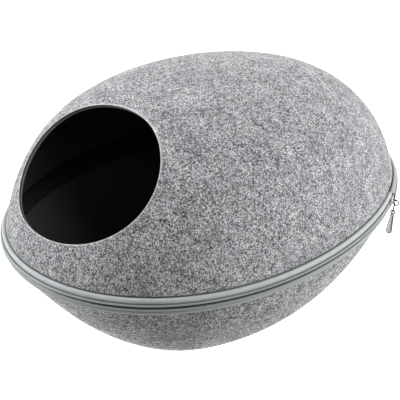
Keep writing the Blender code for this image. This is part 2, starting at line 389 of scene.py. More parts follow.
@dataclass(frozen=True)
class NylonCoil:
    """The zip's ribbed rows.

    Attributes:
        name: The finish's name.
        crest: The tops of the ribs.
        hollow: Painted shade on the sides that face the slit, and in part in the grooves between the ribs.
    """

    name: str = "Grey-green coil"
    crest: Point = (0.215, 0.235, 0.232)
    hollow: Point = (0.08, 0.092, 0.09)

    def material(self) -> bpy.types.Material:
        """Returns the coil, whose mesh says where a rib's crest is and where painted shade falls."""
        graph = Graph(self.name)
        wear = graph.grain(graph.place(), 9 * MM, 2, 0.6)
        tone = (graph.attribute("crest") * 0.85 + wear * 0.25).between(0.0, 1.0)
        colour = graph.blend(tone, self.hollow, self.crest)
        return graph.finish({"Base Color": colour, "Roughness": 0.45, "Specular IOR Level": 0.4})


@dataclass(frozen=True)
class SatinNickel:
    """The metal of the slider and its pull.

    Attributes:
        name: The finish's name.
        bright: The metal where it is rubbed.
        dull: The metal elsewhere.
        metal: How metallic it looks.
    """

    name: str = "Satin nickel"
    bright: Point = (0.36, 0.35, 0.335)
    dull: Point = (0.17, 0.166, 0.16)
    metal: float = 1.0

    def material(self) -> bpy.types.Material:
        """Returns the metal."""
        graph = Graph(self.name)
        rub = graph.grain(graph.place(), 1.6 * MM, 3, 0.6)
        share = rub.between(0.35, 0.65)
        colour = graph.blend(share, self.dull, self.bright)
        inputs = {"Base Color": colour, "Roughness": 0.30 - share * 0.10, "Metallic": self.metal}
        return graph.finish(inputs, rub, 0.01 * MM)


@dataclass(frozen=True)
class PaleFloor:
    """The floor's plain matt white.

    Attributes:
        colour: Its colour.
        glow: How much light it gives off, so that it stays white in the cave's shade.
    """

    colour: Point = (0.90, 0.90, 0.90)
    glow: float = 1.0

    def material(self) -> bpy.types.Material:
        """Returns the floor's material."""
        graph = Graph("Pale floor")
        glow = {"Emission Color": (1, 1, 1, 1), "Emission Strength": self.glow}
        return graph.finish({"Base Color": (*self.colour, 1), "Roughness": 0.9, **glow})


# ----------------------------------------------------------------- mesh helpers


class Ends(Enum):
    """What becomes of a loft's first and last rings."""

    JOINED = "joined to each other"
    CAPPED = "closed with a flat face"
    POINTED = "already drawn in to a point"


class Loft:
    """A mesh drawn through rings of points, bent from one flat grid.

    Attributes:
        MERGE: How near points are that are made one.
    """

    MERGE = 1e-7

    def __init__(self) -> None:
        """Starts with no rings."""
        self.rings: list[np.ndarray] = []
        self.values: list[dict[str, Numbers]] = []

    def add(self, ring: np.ndarray, **values: Numbers) -> None:
        """Adds a ring.

        Args:
            ring: Its points, as (count, 3).
            values: The numbers that its points carry, one for all or one for each. A number that a
                ring isn't given is 0 there.
        """
        self.rings.append(ring)
        self.values.append(values)

    def make(self, name: str, ends: Ends) -> bpy.types.Object:
        """Makes the mesh.

        Args:
            name: The object's name.
            ends: What becomes of its first and last rings.

        Returns:
            The object.
        """
        again = 1 if ends is Ends.JOINED else 0
        rings = np.array(self.rings + self.rings[:again])
        rings = np.concatenate((rings, rings[:, :1]), axis=1)
        rows, points = rings.shape[:2]
        bm = bmesh.new()
        carried = {value_name for values in self.values for value_name in values}
        layers = {value_name: bm.verts.layers.float.new(value_name) for value_name in sorted(carried)}
        bmesh.ops.create_grid(bm, x_segments=points - 1, y_segments=rows - 1, size=1)
        for vert, point in zip(bm.verts, rings.reshape(-1, 3)):
            vert.co = point
        for value_name, layer in layers.items():
            given = [values.get(value_name, 0.0) for values in self.values + self.values[:again]]
            spread = np.array([np.broadcast_to(value, points - 1) for value in given])
            spread = np.concatenate((spread, spread[:, :1]), axis=1)
            for vert, value in zip(bm.verts, spread.ravel()):
                vert[layer] = value
        bmesh.ops.remove_doubles(bm, verts=bm.verts, dist=self.MERGE)
        if ends is Ends.CAPPED:
            open_edges = [edge for edge in bm.edges if edge.is_boundary]
            bmesh.ops.holes_fill(bm, edges=open_edges, sides=0)
        return as_object(name, bm)


def as_object(name: str, bm: bmesh.types.BMesh) -> bpy.types.Object:
    """Turns a bmesh, which is freed, into a shaded object, and returns it."""
    bmesh.ops.recalc_face_normals(bm, faces=bm.faces)
    mesh = bpy.data.meshes.new(name)
    bm.to_mesh(mesh)
    bm.free()
    mesh.shade_smooth()
    mesh.set_sharp_from_angle(angle=SHARP)
    made = bpy.data.objects.new(name, mesh)
    bpy.context.scene.collection.objects.link(made)
    return made


def dress(piece: bpy.types.Object, material: bpy.types.Material, slot: str, *nodes: str) -> None:
    """Gives a piece its material and its place in the frame.

    Args:
        piece: The finished piece.
        material: Its material.
        slot: The record's slot that the material comes under; not used.
        nodes: The CAD nodes that the piece stands for.
    """
    piece.data.materials.append(material)
    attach(piece, BODY)
    if nodes:
        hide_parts(*nodes)
    log.info("%s: %d faces", piece.name, len(piece.data.polygons))


def smooth_line(controls: np.ndarray, steps: int) -> np.ndarray:
    """Draws a smooth line through points, which may be whole arrays of points.

    Args:
        controls: The points, in order along the first axis.
        steps: How many pieces each stretch is drawn in.

    Returns:
        The line's points, in order along the first axis.
    """
    ends = [2 * controls[0] - controls[1], *controls, 2 * controls[-1] - controls[-2]]
    line = []
    for before, start, end, after in zip(ends, ends[1:], ends[2:], ends[3:]):
        for share in np.arange(steps) / steps:
            bend = (end - before) * share + (2 * before - 5 * start + 4 * end - after) * share**2
            bend += (3 * start - before - 3 * end + after) * share**3
            line.append(start + bend / 2)
    return np.array([*line, controls[-1]])


# -------------------------------------------------------------- the cave's forms


@dataclass(frozen=True)
class Waist:
    """The oval outline that the zip follows, a little fuller toward its front.

    Attributes:
        height: How high it lies.
        half_length: From its middle to its front or back.
        half_width: From its middle to a side.
        rear_taper: How much it narrows toward the back.
        end_fullness: How blunt its two ends are.
        rim_inset: How far in from it the shells' cut edges lie.
        rim_rise: How far above and below it they lie.
    """

    height: float
    half_length: float = 250 * MM
    half_width: float = 186 * MM
    rear_taper: float = 0.067
    end_fullness: float = 0.041
    rim_inset: float = 4.2 * MM
    rim_rise: float = 10.2 * MM

    def plan(self, turn: Numbers, inset: Numbers) -> tuple[np.ndarray, np.ndarray]:
        """Returns the x and y of the points that lie an inset in from the outline."""
        share = -np.cos(turn)
        swell = 1 - self.rear_taper * share + self.end_fullness * (share**2 - 0.5)
        swell_change = (2 * self.end_fullness * share - self.rear_taper) * np.sin(turn)
        along_x = self.half_width * (np.cos(turn) * swell + np.sin(turn) * swell_change)
        along_y = self.half_length * np.sin(turn)
        step = inset / np.hypot(along_x, along_y)
        x = self.half_width * np.sin(turn) * swell - step * along_y
        y = self.half_length * share + step * along_x
        return x, y

    def point(self, turn: Numbers, inset: Numbers, height: float) -> np.ndarray:
        """Returns the points at an inset and a height above the waist's middle."""
        x, y = self.plan(turn, inset)
        return np.stack((x, y, np.full_like(x, self.height + height)), axis=-1)

    def distances(self, turns: np.ndarray) -> np.ndarray:
        """Returns how far round the outline turns lie from the first of them."""
        x, y = self.plan(turns, 0.0)
        return np.concatenate(([0.0], np.cumsum(np.hypot(np.diff(x), np.diff(y)))))

    def stations(self, start: float, end: float, spacing: float) -> tuple[np.ndarray, np.ndarray]:
        """Spaces stations evenly round the outline.

        Args:
            start: The first one's turn.
            end: The last one's turn.
            spacing: About how far apart they stand.

        Returns:
            Their turns, and their distances from the first.
        """
        fine = np.linspace(start, end, 8001)
        run = self.distances(fine)
        distances = np.linspace(0, run[-1], round(run[-1] / spacing) + 1)
        return np.interp(distances, run, fine), distances


@dataclass(frozen=True)
class Entry:
    """The oval entry, cut along one slanted axis.

    Attributes:
        middle: Its middle.
        half_width: Half its width.
        height_share: Its height as a share of its width.
        tilt: How far its axis leans up from level.
        flare: How much it widens toward the outside.
        corner: How much fuller than an oval its lower left is, as a share of its size.
        corner_turn: Where it is fullest, from +X toward its top.
        corner_reach: How far round from there that fades.
    """

    middle: Point
    half_width: float = 88.3 * MM
    height_share: float = 0.879
    tilt: float = 47.2 * DEG
    flare: float = 5 * DEG
    corner: float = 0.025
    corner_turn: float = -121 * DEG
    corner_reach: float = 22 * DEG

    def rise(self, points: np.ndarray) -> np.ndarray:
        """Returns how far points lie above its middle, measured in its own plane."""
        up = np.array((0, math.sin(self.tilt), math.cos(self.tilt)))
        return (points - np.array(self.middle)) @ up

    def outside(self, points: np.ndarray) -> np.ndarray:
        """Returns how far points lie outside the cut, as a share of its size: below 0 is inside."""
        axis = np.array((0, -math.cos(self.tilt), math.sin(self.tilt)))
        from_middle = points - np.array(self.middle)
        spread = from_middle @ axis * math.tan(self.flare)
        across = from_middle[:, 0] / (self.half_width + spread)
        rise = self.rise(points) / (self.half_width * self.height_share + spread)
        turned = (np.arctan2(rise, across) - self.corner_turn) / self.corner_reach
        return np.hypot(across, rise) - 1 - self.corner * np.exp(-(turned**2))


def halve(low: np.ndarray, high: np.ndarray, past: Callable[[np.ndarray], np.ndarray]) -> np.ndarray:
    """Finds where a test turns true, by halving.

    Args:
        low: Values at which the test is false.
        high: Values at which it is true.
        past: The test, on an array.

    Returns:
        The values between them where it changes.
    """
    for _ in range(32):
        middle = (low + high) / 2
        there = past(middle)
        high = np.where(there, middle, high)
        low = np.where(there, low, middle)
    return (low + high) / 2


def unit(vectors: np.ndarray) -> np.ndarray:
    """Returns vectors with their lengths made 1."""
    return vectors / np.linalg.norm(vectors, axis=-1, keepdims=True)


class Shell(ABC):
    """A moulded shell's outer face.

    It is read by turn and level, where level 0 is its cut edge at the waist. It is also read by
    share along its own columns of points, which run from share 0 at the far edge to 1 at the waist.

    Attributes:
        flange_level: How far up the tape's flange reaches behind it.
        lining_share: The share at which the lining ends, just past the flange.
        least_share: The least share at which the face is known.
    """

    flange_level = 0.0
    lining_share = 1.0
    least_share = 0.0

    def __init__(self, waist: Waist, columns: int) -> None:
        """Spaces its columns evenly round the waist."""
        self.waist = waist
        self.turns = np.arange(columns) * FULL_TURN / columns

    @abstractmethod
    def profile(self, turn: np.ndarray, level: float) -> np.ndarray:
        """Returns the face's points at these turns, as (count, 3)."""

    @abstractmethod
    def face(self, share: np.ndarray) -> np.ndarray:
        """Returns one point of the face on each column, as (columns, 3)."""

    def behind(self, turn: np.ndarray, level: float, depth: float) -> np.ndarray:
        """Returns points at a depth behind the face, square to it, or level at its cut edge."""
        step = 1e-4
        points = self.profile(turn, level)
        round_it = self.profile(turn + step, level) - self.profile(turn - step, level)
        up_it = self.profile(turn, level + step) - self.profile(turn, max(level - step, 0))
        inward = unit(np.cross(round_it, up_it))
        outward = np.sum(inward[:, :2] * points[:, :2], axis=1, keepdims=True) > 0
        inward = np.where(outward, -inward, inward)
        if level == 0:
            inward = inward * (1, 1, 0)
            inward /= np.sum(inward**2, axis=1, keepdims=True)
        return points + inward * depth

    def run(self, share: float) -> np.ndarray:
        """Returns how many metres a share is worth on each column, near this share."""
        near, step = min(max(share, 1e-3), 1 - 1e-3), 1e-3
        ends = [self.face(np.full(len(self.turns), near + away)) for away in (-step, step)]
        return np.linalg.norm(ends[1] - ends[0], axis=1) / (2 * step)

    def square(self, share: np.ndarray) -> np.ndarray:
        """Returns the directions square to the face and outward on each column."""
        step = 1e-3
        points = self.face(share)
        round_it = np.roll(points, -1, axis=0) - np.roll(points, 1, axis=0)
        across = self.face(np.minimum(share + step, 1))
        across -= self.face(np.maximum(np.minimum(share, 1) - step, self.least_share))
        normals = unit(np.cross(round_it, across))
        facing = np.sum(normals * (points - self.middle()), axis=1, keepdims=True)
        return np.where(facing < 0, -normals, normals)

    def middle(self) -> np.ndarray:
        """Returns a point that the whole face looks away from."""
        return np.array((0, -20 * MM, self.waist.height))

    def ring(self, share: Numbers, depth: Numbers) -> np.ndarray:
        """Returns a ring of points at a depth behind the face, square to it, or level at share 1."""
        share = np.broadcast_to(share, self.turns.shape)
        points, normals = self.face(share), self.square(share)
        edge = (share == 1)[:, None]
        level = normals * (1, 1, 0)
        level /= np.sum(level**2, axis=1, keepdims=True)
        normals = np.where(edge, level, normals)
        return points + normals * (self.dents(points, share) - depth)[:, None]

    def dents(self, points: np.ndarray, share: np.ndarray) -> np.ndarray:
        """Returns how far the moulded felt stands out of true, in slow swells and small ones."""
        swells = ((85 * MM, 0.7 * MM), (30 * MM, 0.22 * MM), (11 * MM, 0.07 * MM))
        near_edge = np.clip(np.minimum(share, 1 - share) / 0.12, 0, 1)
        fade = near_edge**2 * (3 - 2 * near_edge)
        rise = np.zeros(len(points))
        for size, amount in swells:
            rise += [amount * noise.noise(Vector(point)) for point in points / size]
        return rise * fade


class Dome(Shell):
    """The upper shell. Its columns run from the rim of the entry to the waist.

    Attributes:
        cut: How far up its whole form it is cut off.
        height_power: How full it is seen from a side.
        plan_power: How full it is toward its edge.
        plan_change: How that changes toward its back.
    """

    flange_level = 0.027
    lining_share = 0.975
    least_share = -0.1
    cut = 0.2356
    height_power = 2.0445
    plan_power = 2.891
    plan_change = -0.490

    def __init__(self, waist: Waist, columns: int, entry: Entry, top: float) -> None:
        """Finds the entry's rim on each column.

        Args:
            waist: The outline below it.
            columns: How many columns of points it has.
            entry: The hole in it.
            top: How high it reaches.
        """
        super().__init__(waist, columns)
        self.rim = waist.height + waist.rim_rise
        self.climb = (top - self.rim) / (1 - self.cut)
        self.edge = 1 - self.cut**self.height_power
        self.ends = np.stack((np.sin(self.turns), -np.cos(self.turns)), axis=1)
        front = np.array((0.0, -1.0))
        reach = halve(
            np.zeros(1),
            np.ones(1),
            lambda part: entry.rise(self.on_disc(part[:, None] * front)) < 0,
        )
        start = reach * front
        out = halve(
            np.zeros(columns),
            np.ones(columns),
            lambda part: entry.outside(self.on_disc(start + part[:, None] * (self.ends - start))) > 0,
        )
        self.rims = start + out[:, None] * (self.ends - start)
        probe = 5 * MM
        most = np.full(columns, 0.05)
        through = halve(
            -most, most, lambda share: entry.outside(self.face(share) - self.square(share) * probe) > 0
        )
        self.slant = through / probe

    def _at(self, turn: np.ndarray, share: Callable[[np.ndarray], np.ndarray]) -> np.ndarray:
        """Returns the face's points at a share of the way out, which depends on the plan's fullness."""
        x, y = self.waist.plan(turn, self.waist.rim_inset)
        power = self.plan_power + self.plan_change * y / self.waist.half_length
        out = share(power)
        rise = self.climb * (self._height(out, power) - self.cut)
        return np.stack((x * out, y * out, self.rim + rise), axis=1)

    def _height(self, out: np.ndarray, power: np.ndarray) -> np.ndarray:
        """Returns the height of the whole form, as a share of it, at a share of the way out."""
        return (1 - self.edge * out**power) ** (1 / self.height_power)

    def profile(self, turn: np.ndarray, level: float) -> np.ndarray:
        """Returns the face's points from its cut edge at level 0 to its top at level 1."""
        sine = math.sin((1 - level) * math.asin(math.sqrt(self.edge)))
        return self._at(turn, lambda power: (sine**2 / self.edge) ** (1 / power))

    def cut_share(self, depth: float) -> np.ndarray:
        """Returns the share on each column at which the entry's cut passes, at a depth."""
        return self.slant * depth

    def on_disc(self, spots: np.ndarray) -> np.ndarray:
        """Returns the face's points for spots on a disc, whose edge is the cut edge.

        The disc's radius runs evenly down the dome's profile, from its top to its edge.
        """
        spread = (self.waist.half_length + self.waist.half_width) / 2
        reach = np.linalg.norm(spots, axis=1) * (spread + self.climb * (1 - self.cut))

        def share(power: np.ndarray) -> np.ndarray:
            """Returns how far out the spots lie, for the plan's fullness there."""
            return halve(
                np.zeros_like(reach),
                np.ones_like(reach),
                lambda out: spread * out + self.climb * (1 - self._height(out, power)) > reach,
            )

        return self._at(np.arctan2(spots[:, 0], -spots[:, 1]), share)

    def face(self, share: np.ndarray) -> np.ndarray:
        """Returns one point of the face on each column."""
        spots = self.rims + share[:, None] * (self.ends - self.rims)
        points = self.on_disc(spots)
        edge = self.profile(self.turns, 0.0)
        return np.where((share == 1)[:, None], edge, points)


class Bowl(Shell):
    """The lower shell. Its columns run from the edge of its flat base to the waist.

    Attributes:
        base_share: The base's size as a share of the cut edge's.
        base_middle: How far toward the back the base's middle lies.
        power: How steeply it rises.
        power_change: How that changes toward its back.
    """

    flange_level = 0.029
    lining_share = 1 - 0.032
    base_share = 0.4744
    base_middle = -33.5 * MM
    power = 1.956
    power_change = 0.573

    def profile(self, turn: np.ndarray, level: Numbers) -> np.ndarray:
        """Returns the face's points from its cut edge at level 0 to its base's edge at level 1."""
        x, y = self.waist.plan(turn, self.waist.rim_inset)
        power = self.power + self.power_change * y / self.waist.half_length
        spread = 1 - (1 - self.base_share) * level
        height = (self.waist.height - self.waist.rim_rise) * (1 - level) ** power
        return np.stack((x * spread, self.base_middle + (y - self.base_middle) * spread, height), axis=1)

    def face(self, share: np.ndarray) -> np.ndarray:
        """Returns one point of the face on each column."""
        return self.profile(self.turns, 1 - share)

    def middle(self) -> np.ndarray:
        """Returns a point that the whole face looks away from."""
        return np.array((0, self.base_middle, self.waist.height - self.waist.rim_rise))


# ------------------------------------------------------------------- the shells


@dataclass(frozen=True)
class Layer:
    """One layer of a shell's wall.

    Attributes:
        outer: How deep its outer face lies.
        inner: How deep its inner face lies.
        whole: Whether it reaches the shell's cut edge, as the felt does, or stops past the flange.
        soft: The radius of its outer corners.
        inner_soft: The radius of its inner corner at the entry.
        outer_rings: How many rings of points its outer face has.
        inner_rings: How many rings its inner face has.
    """

    outer: float
    inner: float
    whole: bool
    soft: float
    inner_soft: float
    outer_rings: int
    inner_rings: int


FELT = Layer(0.0, 2.0 * MM, True, 0.4 * MM, 0.25 * MM, 120, 36)
LINING = Layer(2.0 * MM + GAP, 4.9 * MM, False, 0.3 * MM, 1.3 * MM, 40, 64)


@dataclass
class Wall(ABC):
    """The wall of one shell, which is made a layer at a time.

    Attributes:
        shell: The form that it follows.
        corner_steps: How many steps a corner is rounded in.
        crease_shade_width: How far onto its outer face the painted shade at the cut edge along the waist
            reaches.
        turned: How far from its inner face the last ring on that edge lies.
    """

    shell: Shell
    corner_steps: int = 4
    crease_shade_width: float = 0.9 * MM
    turned: float = 0.2 * MM

    @abstractmethod
    def open(self, loft: Loft, layer: Layer) -> tuple[Numbers, Numbers]:
        """Adds the rings before the outer face.

        Args:
            loft: The layer's mesh.
            layer: The layer.

        Returns:
            The shares at which its outer face starts and its inner face ends.
        """

    @abstractmethod
    def close(self, loft: Loft, layer: Layer) -> Ends:
        """Adds the rings after the inner face, and returns how the mesh ends."""

    def lip(self, share: np.ndarray) -> Numbers:
        """Returns how much painted highlight a place on the felt gets along the rim of an opening."""
        return 0.0

    def near(self, share: np.ndarray) -> Numbers:
        """Returns how near a place inside is to an opening, from 0 to 1 at its edge."""
        return 0.0

    def corner(self, soft: float) -> list[tuple[float, float]]:
        """Returns (distance from the edge, distance from the face) round a corner, toward the edge."""
        angles = [math.pi / 2 * i / self.corner_steps for i in range(self.corner_steps + 1)]
        return [(soft * (1 - math.sin(at)), soft * (1 - math.cos(at))) for at in angles]

    def build(self, name: str, layer: Layer) -> bpy.types.Object:
        """Builds one layer, out along its outer face, over its cut at the waist and back inside.

        Args:
            name: The piece's name.
            layer: The layer.

        Returns:
            The piece.
        """
        shell = self.shell
        loft = Loft()
        first, last = self.open(loft, layer)
        far = 1.0 if layer.whole else shell.lining_share
        run = shell.run(far)
        end = far - (layer.soft + self.crease_shade_width) / run
        for i in range(layer.outer_rings + 1):
            share = first + (end - first) * i / layer.outer_rings
            loft.add(shell.ring(share, layer.outer), lip=self.lip(share))
        for away, below in self.corner(layer.soft):
            # Painted shade round the cut edge at the waist, from the outer face to the underside; the felt's
            # hidden inner face gets it in full.
            dark = 0.35 + 0.65 * min(1.0, below / (0.7 * layer.soft))
            loft.add(shell.ring(far - away / run, layer.outer + below), crease=dark)
        loft.add(shell.ring(far, layer.inner - self.turned), crease=1.0)
        for i in range(layer.inner_rings + 1):
            share = far + (last - far) * i / layer.inner_rings
            loft.add(shell.ring(share, layer.inner), near=self.near(share), crease=float(layer.whole))
        return loft.make(name, self.close(loft, layer))


@dataclass
class UpperWall(Wall):
    """The dome's wall, with the entry cut through it.

    Attributes:
        lip_width: How wide the painted highlight along the entry's rim is.
        entry_light_width: How far in from the entry the painted light on the lining reaches.
    """

    lip_width: float = 1.3 * MM
    entry_light_width: float = 45 * MM

    def open(self, loft: Loft, layer: Layer) -> tuple[Numbers, Numbers]:
        """Adds the rings across the entry's cut, from its inner corner to its outer one."""
        shell = self.shell
        run = shell.run(0.0)
        for i, (away, below) in enumerate(self.corner(layer.inner_soft)):
            depth = layer.inner - below
            dark = i / self.corner_steps
            loft.add(shell.ring(shell.cut_share(depth) + away / run, depth), cut=dark, near=1.0)
        for away, below in reversed(self.corner(layer.soft)):
            depth = layer.outer + below
            # The entry's outer corner gets the painted highlight, and its lower part the cut edge's colour.
            dark = 1.0 if below > 0.6 * layer.soft else 0.0
            loft.add(shell.ring(shell.cut_share(depth) + away / run, depth), cut=dark, lip=1.0 - dark)
        first = shell.cut_share(layer.outer) + layer.soft / run
        return first, shell.cut_share(layer.inner) + layer.inner_soft / run

    def close(self, loft: Loft, layer: Layer) -> Ends:
        """Adds nothing, because the inner face comes back to the first ring."""
        return Ends.JOINED

    def lip(self, share: np.ndarray) -> Numbers:
        """Returns the painted highlight: 1 at the entry's rim, down to 0 at its width from it."""
        return np.clip(1.3 - share * self.shell.run(0.0) / self.lip_width, 0, 1)

    def near(self, share: np.ndarray) -> Numbers:
        """Returns 1 at the entry's rim, down to 0 where the painted light on the lining ends."""
        return np.clip(1 - share * self.shell.run(0.0) / self.entry_light_width, 0, 1) ** 1.5


@dataclass
class LowerWall(Wall):
    """The bowl's wall, with its flat base.

    Attributes:
        base_rings: How many rings the base has on each face.
    """

    base_rings: int = 10

    def _base(self, depth: float, part: float) -> np.ndarray:
        """Returns a ring of the base, a part of the way out from its middle."""
        edge = self.shell.ring(0.0, depth)
        middle = np.array((0, self.shell.base_middle, depth))
        return middle + (edge - middle) * part

    def open(self, loft: Loft, layer: Layer) -> tuple[Numbers, Numbers]:
        """Adds the underside's rings, from its middle out."""
        for i in range(self.base_rings):
            loft.add(self._base(layer.outer, i / self.base_rings))
        return 0.0, 0.0

    def close(self, loft: Loft, layer: Layer) -> Ends:
        """Adds the inside's rings over the base, back in to its middle."""
        for i in reversed(range(self.base_rings)):
            loft.add(self._base(layer.inner, i / self.base_rings))
        return Ends.POINTED


# ---------------------------------------------------------------------- the zip


class Side(Enum):
    """The half of the zip that a piece belongs to."""

    UPPER = 1
    LOWER = -1


@dataclass(frozen=True)
class Strip:
    """A strip of cloth.

    Attributes:
        piece: Its mesh.
        flat: Its width and length before it was folded and bent.
    """

    piece: bpy.types.Object
    flat: tuple[float, float]


@dataclass
class Zip:
    """The zip round the waist: a tape and a ribbed row on each side, and the plain band at the back.

    Each section is a table of (inset, height above or below the waist's middle), in millimetres.

    Attributes:
        shells: The shell on each side, whose felt hides the tape's flange.
        end: The turn where the zip stops and the band starts.
        end_gap: How far the tapes stop short of it.
        mitre: How far round the waist their ends are slanted.
        row_end: The turn where the ribbed rows stop.
        chain_end: The turn where the teeth behind them stop.
        tape_outer: The tape's outer face, from the felt out to the row.
        tape_inner: The tape's inner face.
        row: A ribbed row.
        chain: The teeth that close the slit between the rows, from behind.
        band_outer: The band's outer face, down to the middle.
        band_inner: The band's inner face.
        pitch: The distance from rib to rib.
        rib: How far a rib stands out.
        tooth: How far a tooth stands out.
        station: The distance between the sections of a tape.
        widest: The turn where the slit between the rows gapes most.
        closed: How far round from there it closes, one way and the other.
        stretch: How much taller the rows are drawn where it is closed.
        bulge: How far out the zip is pushed where it bulges.
        bulge_turn: The turn where it bulges most.
        bulge_reach: How far round from there the bulge fades.
        bulge_root: The inset behind which nothing is pushed.
        bulge_fade: How far out from there it takes to be pushed in full.
        flange_points: How many points of a section lie on its flange.
        line_steps: How many pieces each stretch of a section is drawn in.
    """

    shells: dict[Side, Shell]
    end: float = 127.3 * DEG
    end_gap: float = 0.1 * DEG
    mitre: float = 2.6 * DEG
    row_end: float = 121.6 * DEG
    chain_end: float = 121.8 * DEG
    tape_outer: Table = (
        # inset, height
        (6.6, 9.3),
        (5.4, 8.8),
        (4.3, 8.8),
        (3.2, 9.1),
        (2.1, 9.0),
        (1.2, 8.4),
        (0.6, 7.4),
        (0.4, 6.2),
        (0.4, 5.2),
        (0.6, 4.5),
        (1.0, 4.0),
        (1.2, 3.6),
        (1.2, 2.5),
        (1.2, 1.45),
    )
    tape_inner: Table = (
        # inset, height
        (7.6, 8.3),
        (6.0, 7.8),
        (4.3, 7.7),
        (2.6, 7.5),
        (2.1, 6.6),
        (2.1, 4.0),
        (2.1, 1.45),
    )
    row: Table = (
        # inset, height
        (0.9, 3.5),
        (0.0, 3.7),
        (-1.0, 3.4),
        (-1.6, 2.7),
        (-1.4, 1.9),
        (-0.6, 1.4),
        (0.9, 1.3),
    )
    chain: Table = (
        # inset, height
        (2.2, 1.9),
        (2.25, 0.7),
        (2.25, -0.7),
        (2.2, -1.9),
        (2.6, -2.1),
        (2.75, -1.0),
        (2.75, 1.0),
        (2.6, 2.1),
    )
    band_outer: Table = (
        # inset, height
        (6.6, 9.2),
        (5.4, 8.8),
        (4.3, 8.8),
        (3.2, 9.1),
        (1.9, 9.1),
        (0.4, 8.5),
        (-0.7, 7.4),
        (-1.1, 6.2),
        (-1.0, 5.2),
        (-0.4, 4.6),
        (-1.7, 4.0),
        (-2.7, 2.8),
        (-2.8, 1.2),
        (-2.8, 0.0),
    )
    band_inner: Table = (
        # inset, height
        (7.6, 8.4),
        (6.0, 8.1),
        (4.3, 8.1),
        (2.6, 7.6),
        (1.3, 6.8),
        (0.8, 5.8),
        (0.8, 4.6),
        (0.2, 3.4),
        (-1.3, 2.4),
        (-1.7, 1.2),
        (-1.7, 0.0),
    )
    pitch: float = 2.05 * MM
    rib: float = 0.11 * MM
    tooth: float = 0.30 * MM
    station: float = 2.4 * MM
    widest: float = 40 * DEG
    closed: tuple[float, float] = (35 * DEG, 95 * DEG)
    stretch: float = 0.50
    bulge: float = 2.2 * MM
    bulge_turn: float = -58 * DEG
    bulge_reach: float = 26 * DEG
    bulge_root: float = 6.6 * MM
    bulge_fade: float = 4 * MM
    flange_points: int = 4
    line_steps: int = 3

    @property
    def waist(self) -> Waist:
        """The outline that the zip follows."""
        return self.shells[Side.UPPER].waist

    def _face(
        self, side: Side, turns: np.ndarray, mitre: np.ndarray, depth: float, table: Table
    ) -> np.ndarray:
        """Draws one face of a strip, from its flange's end down to the table's last point.

        Args:
            side: The side of the zip.
            turns: The turns of its stations.
            mitre: How far round the waist each station's far points are moved.
            depth: How far behind the felt's face the flange lies.
            table: The rest of the section.

        Returns:
            The face's points, as (points, stations, 3).
        """
        shell, waist = self.shells[side], self.waist
        controls = []
        for level in np.linspace(shell.flange_level, 0, self.flange_points):
            height = np.abs(shell.profile(turns, level)[:, 2] - waist.height)
            controls.append(shell.behind(turns + mitre * height / waist.rim_rise, level, depth))
        for inset, height in np.array(table) * MM:
            turned = turns + mitre * height / waist.rim_rise
            controls.append(waist.point(turned, self._pushed(turned, inset), side.value * height))
        return smooth_line(np.array(controls), self.line_steps)

    def _pushed(self, turn: Numbers, inset: Numbers) -> Numbers:
        """Returns an inset after the zip has been pushed out where it bulges."""
        share = np.exp(-(((turn - self.bulge_turn) / self.bulge_reach) ** 2))
        return inset - self.bulge * share * np.clip((self.bulge_root - inset) / self.bulge_fade, 0, 1)

    def _shade(self, table: Table, groove: range, lines: tuple[float, float], crease: float) -> np.ndarray:
        """Returns how much painted shade each point of an outer face gets.

        Args:
            table: The face's section, after its flange.
            groove: The numbers of its points that lie in the groove.
            lines: How dark the painted shade is in the crease beside the felt, and in the groove.
            crease: How far in the painted crease shade reaches, as an inset in millimetres.

        Returns:
            Painted shade: 1 behind the felt, less in the crease and in the groove, a little where the face
                stands out furthest, and 0 elsewhere.
        """
        dark = [1.0] * self.flange_points
        for number, (inset, _) in enumerate(table):
            beside = lines[0] if inset > crease else 0.28 if inset < 0.5 else 0.0
            dark.append(lines[1] if number in groove else beside)
        return smooth_line(np.array(dark), self.line_steps)

    def _strip(
        self, name: str, outer: np.ndarray, inner: np.ndarray, shade: np.ndarray, along: np.ndarray
    ) -> Strip:
        """Makes a strip of cloth from its two faces.

        Args:
            name: The piece's name.
            outer: Its outer face, as (points, stations, 3).
            inner: Its inner face, which gets painted shade all over.
            shade: How much painted shade each point of its outer face gets.
            along: Each station's distance along it.

        Returns:
            The strip.
        """
        section = np.concatenate((outer, inner[::-1]))
        runs = []
        for face in (outer, inner):
            steps = np.linalg.norm(np.diff(face[:, len(along) // 2], axis=0), axis=1)
            runs.append(np.concatenate(([0.0], np.cumsum(steps))))
        across = np.concatenate((runs[0], runs[1][::-1]))
        # The inner face is painted in full shade.
        dark = np.concatenate((shade, np.ones(len(inner))))
        loft = Loft()
        for i, distance in enumerate(along):
            loft.add(section[:, i], along=distance, across=across, dark=dark)
        return Strip(loft.make(name, Ends.CAPPED), (float(runs[0][-1]), float(along[-1])))

    def _stations(self, start: float, end: float, lean: float) -> tuple[np.ndarray, np.ndarray, np.ndarray]:
        """Spaces a strip's stations.

        Args:
            start: The first one's turn.
            end: The last one's turn.
            lean: How far round the waist the first one is slanted. The last is slanted the other way.

        Returns:
            Their turns, their distances from the first, and how far each is slanted.
        """
        turns, along = self.waist.stations(start, end, self.station)
        mitre = np.zeros(len(turns))
        mitre[0], mitre[-1] = lean, -lean
        return turns, along, mitre

    def tape(self, side: Side) -> Strip:
        """Builds the tape on one side."""
        end = self.end - self.end_gap
        turns, along, mitre = self._stations(-end, end, self.mitre)
        outer = self._face(side, turns, mitre, FELT.inner + GAP, self.tape_outer)
        inner = self._face(side, turns, mitre, FELT.inner + GAP + TAPE, self.tape_inner)
        # Painted shade in the crease beside the felt and in the groove beside the row.
        shade = self._shade(self.tape_outer, range(9, 13), (0.56, 0.40), 3.8)
        return self._strip(f"{side.name.lower()}_tape", outer, inner, shade, along)

